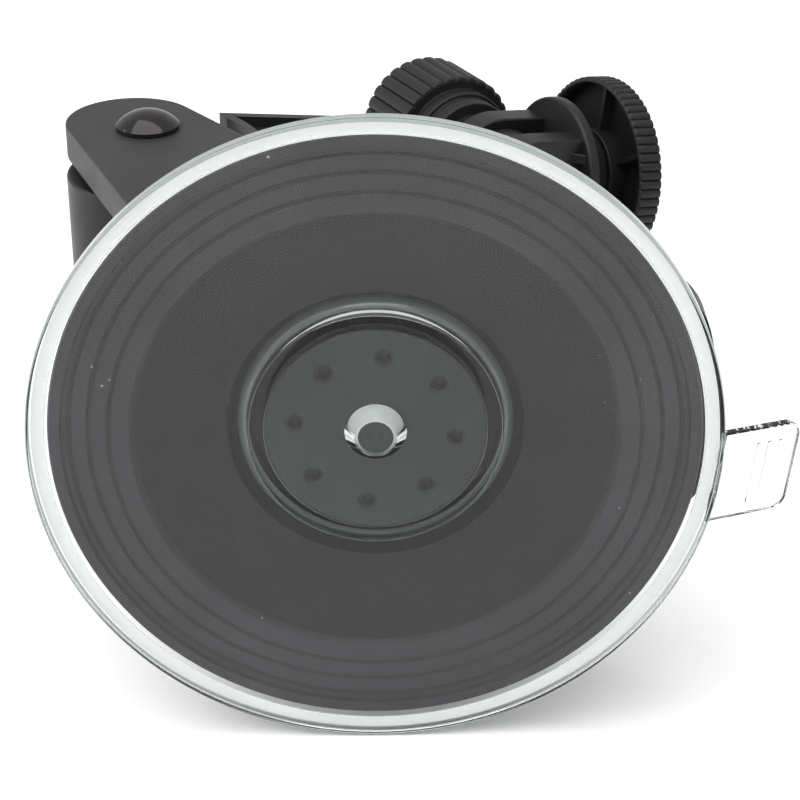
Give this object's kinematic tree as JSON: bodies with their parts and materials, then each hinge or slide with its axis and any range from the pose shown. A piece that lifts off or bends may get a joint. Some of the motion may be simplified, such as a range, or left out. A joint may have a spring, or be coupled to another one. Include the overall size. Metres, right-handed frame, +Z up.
{
  "type": "dash camera windscreen mount",
  "caption": "Cam-lever suction mount for a dash camera: clear suction cup, swinging arm, tilting fork head and a quarter-inch camera stud with a lock wheel.",
  "frame": {"origin": "centre of the suction face, in the plane of the cup's rim, which meets the glass", "axes": "+Y away from the glass along the cup's axis, +Z up, +X to the right as seen from the glass side, towards the lock lever's end and the pull tab"},
  "size_m": [0.0805, 0.103, 0.07],
  "materials": {
    "clear_tpu": "gloss",
    "puller_plastic": "satin",
    "housing_plastic": "matte",
    "bracket_plastic": "matte",
    "arm_plastic": "satin",
    "knob_plastic": "satin",
    "lever_plastic": "satin",
    "black_pin": "gloss",
    "bright_steel": "satin",
    "brass": "satin",
    "nylon": "satin",
    "pad_rubber": "matte"
  },
  "bodies": {
    "mount": {"suction_membrane": "clear_tpu", "base_housing": "housing_plastic", "housing_screws": "black_pin", "clevis_bracket": "bracket_plastic", "cam_washer": "bright_steel", "return_spring": "bright_steel", "pivot_pin": "black_pin", "pivot_nut": "bright_steel", "pivot_washers": "nylon"},
    "puller": {"puller_disc": "puller_plastic"},
    "lever": {"lock_lever": "lever_plastic", "lever_pin": "bright_steel"},
    "arm": {"swing_arm": "arm_plastic"},
    "head": {"fork_head": "arm_plastic", "hinge_bolt": "bright_steel", "hinge_washer": "bright_steel", "camera_stud": "bright_steel"},
    "knob": {"hinge_knob": "knob_plastic", "knob_nut": "brass"},
    "wheel": {"lock_wheel": "knob_plastic", "wheel_nut": "brass", "wheel_pad": "pad_rubber"}
  },
  "joints": [
    {"name": "puller_slide", "type": "slide", "parent": "mount", "child": "puller", "axis": [0, -1, 0], "range_m": [0, 0.0025], "deforming": ["suction_membrane", "return_spring"]},
    {"name": "lever_open", "type": "hinge", "parent": "puller", "child": "lever", "pos_m": [0, 0.0224, 0], "axis": [0, 0, 1], "range_deg": [0, 85]},
    {"name": "arm_swing", "type": "hinge", "parent": "mount", "child": "arm", "pos_m": [-0.0268, 0.0538, 0], "axis": [0, 0, 1], "range_deg": [0, 165]},
    {"name": "head_tilt", "type": "hinge", "parent": "arm", "child": "head", "pos_m": [0.01775, 0.0765, -0.0012], "axis": [0.454, -0.891, 0], "range_deg": [-81, 97]},
    {"name": "knob_turn", "type": "hinge", "parent": "head", "child": "knob", "pos_m": [0.01775, 0.0765, -0.0012], "axis": [-0.454, 0.891, 0], "continuous": true},
    {"name": "wheel_turn", "type": "hinge", "parent": "head", "child": "wheel", "pos_m": [0.02993, 0.08271, -0.0031], "axis": [0.8826, 0.4497, -0.1374], "continuous": true}
  ],
  "couplings": [
    {"joint": "puller_slide", "follows": "lever_open", "m_per_rad": 0.0016852}
  ]
}
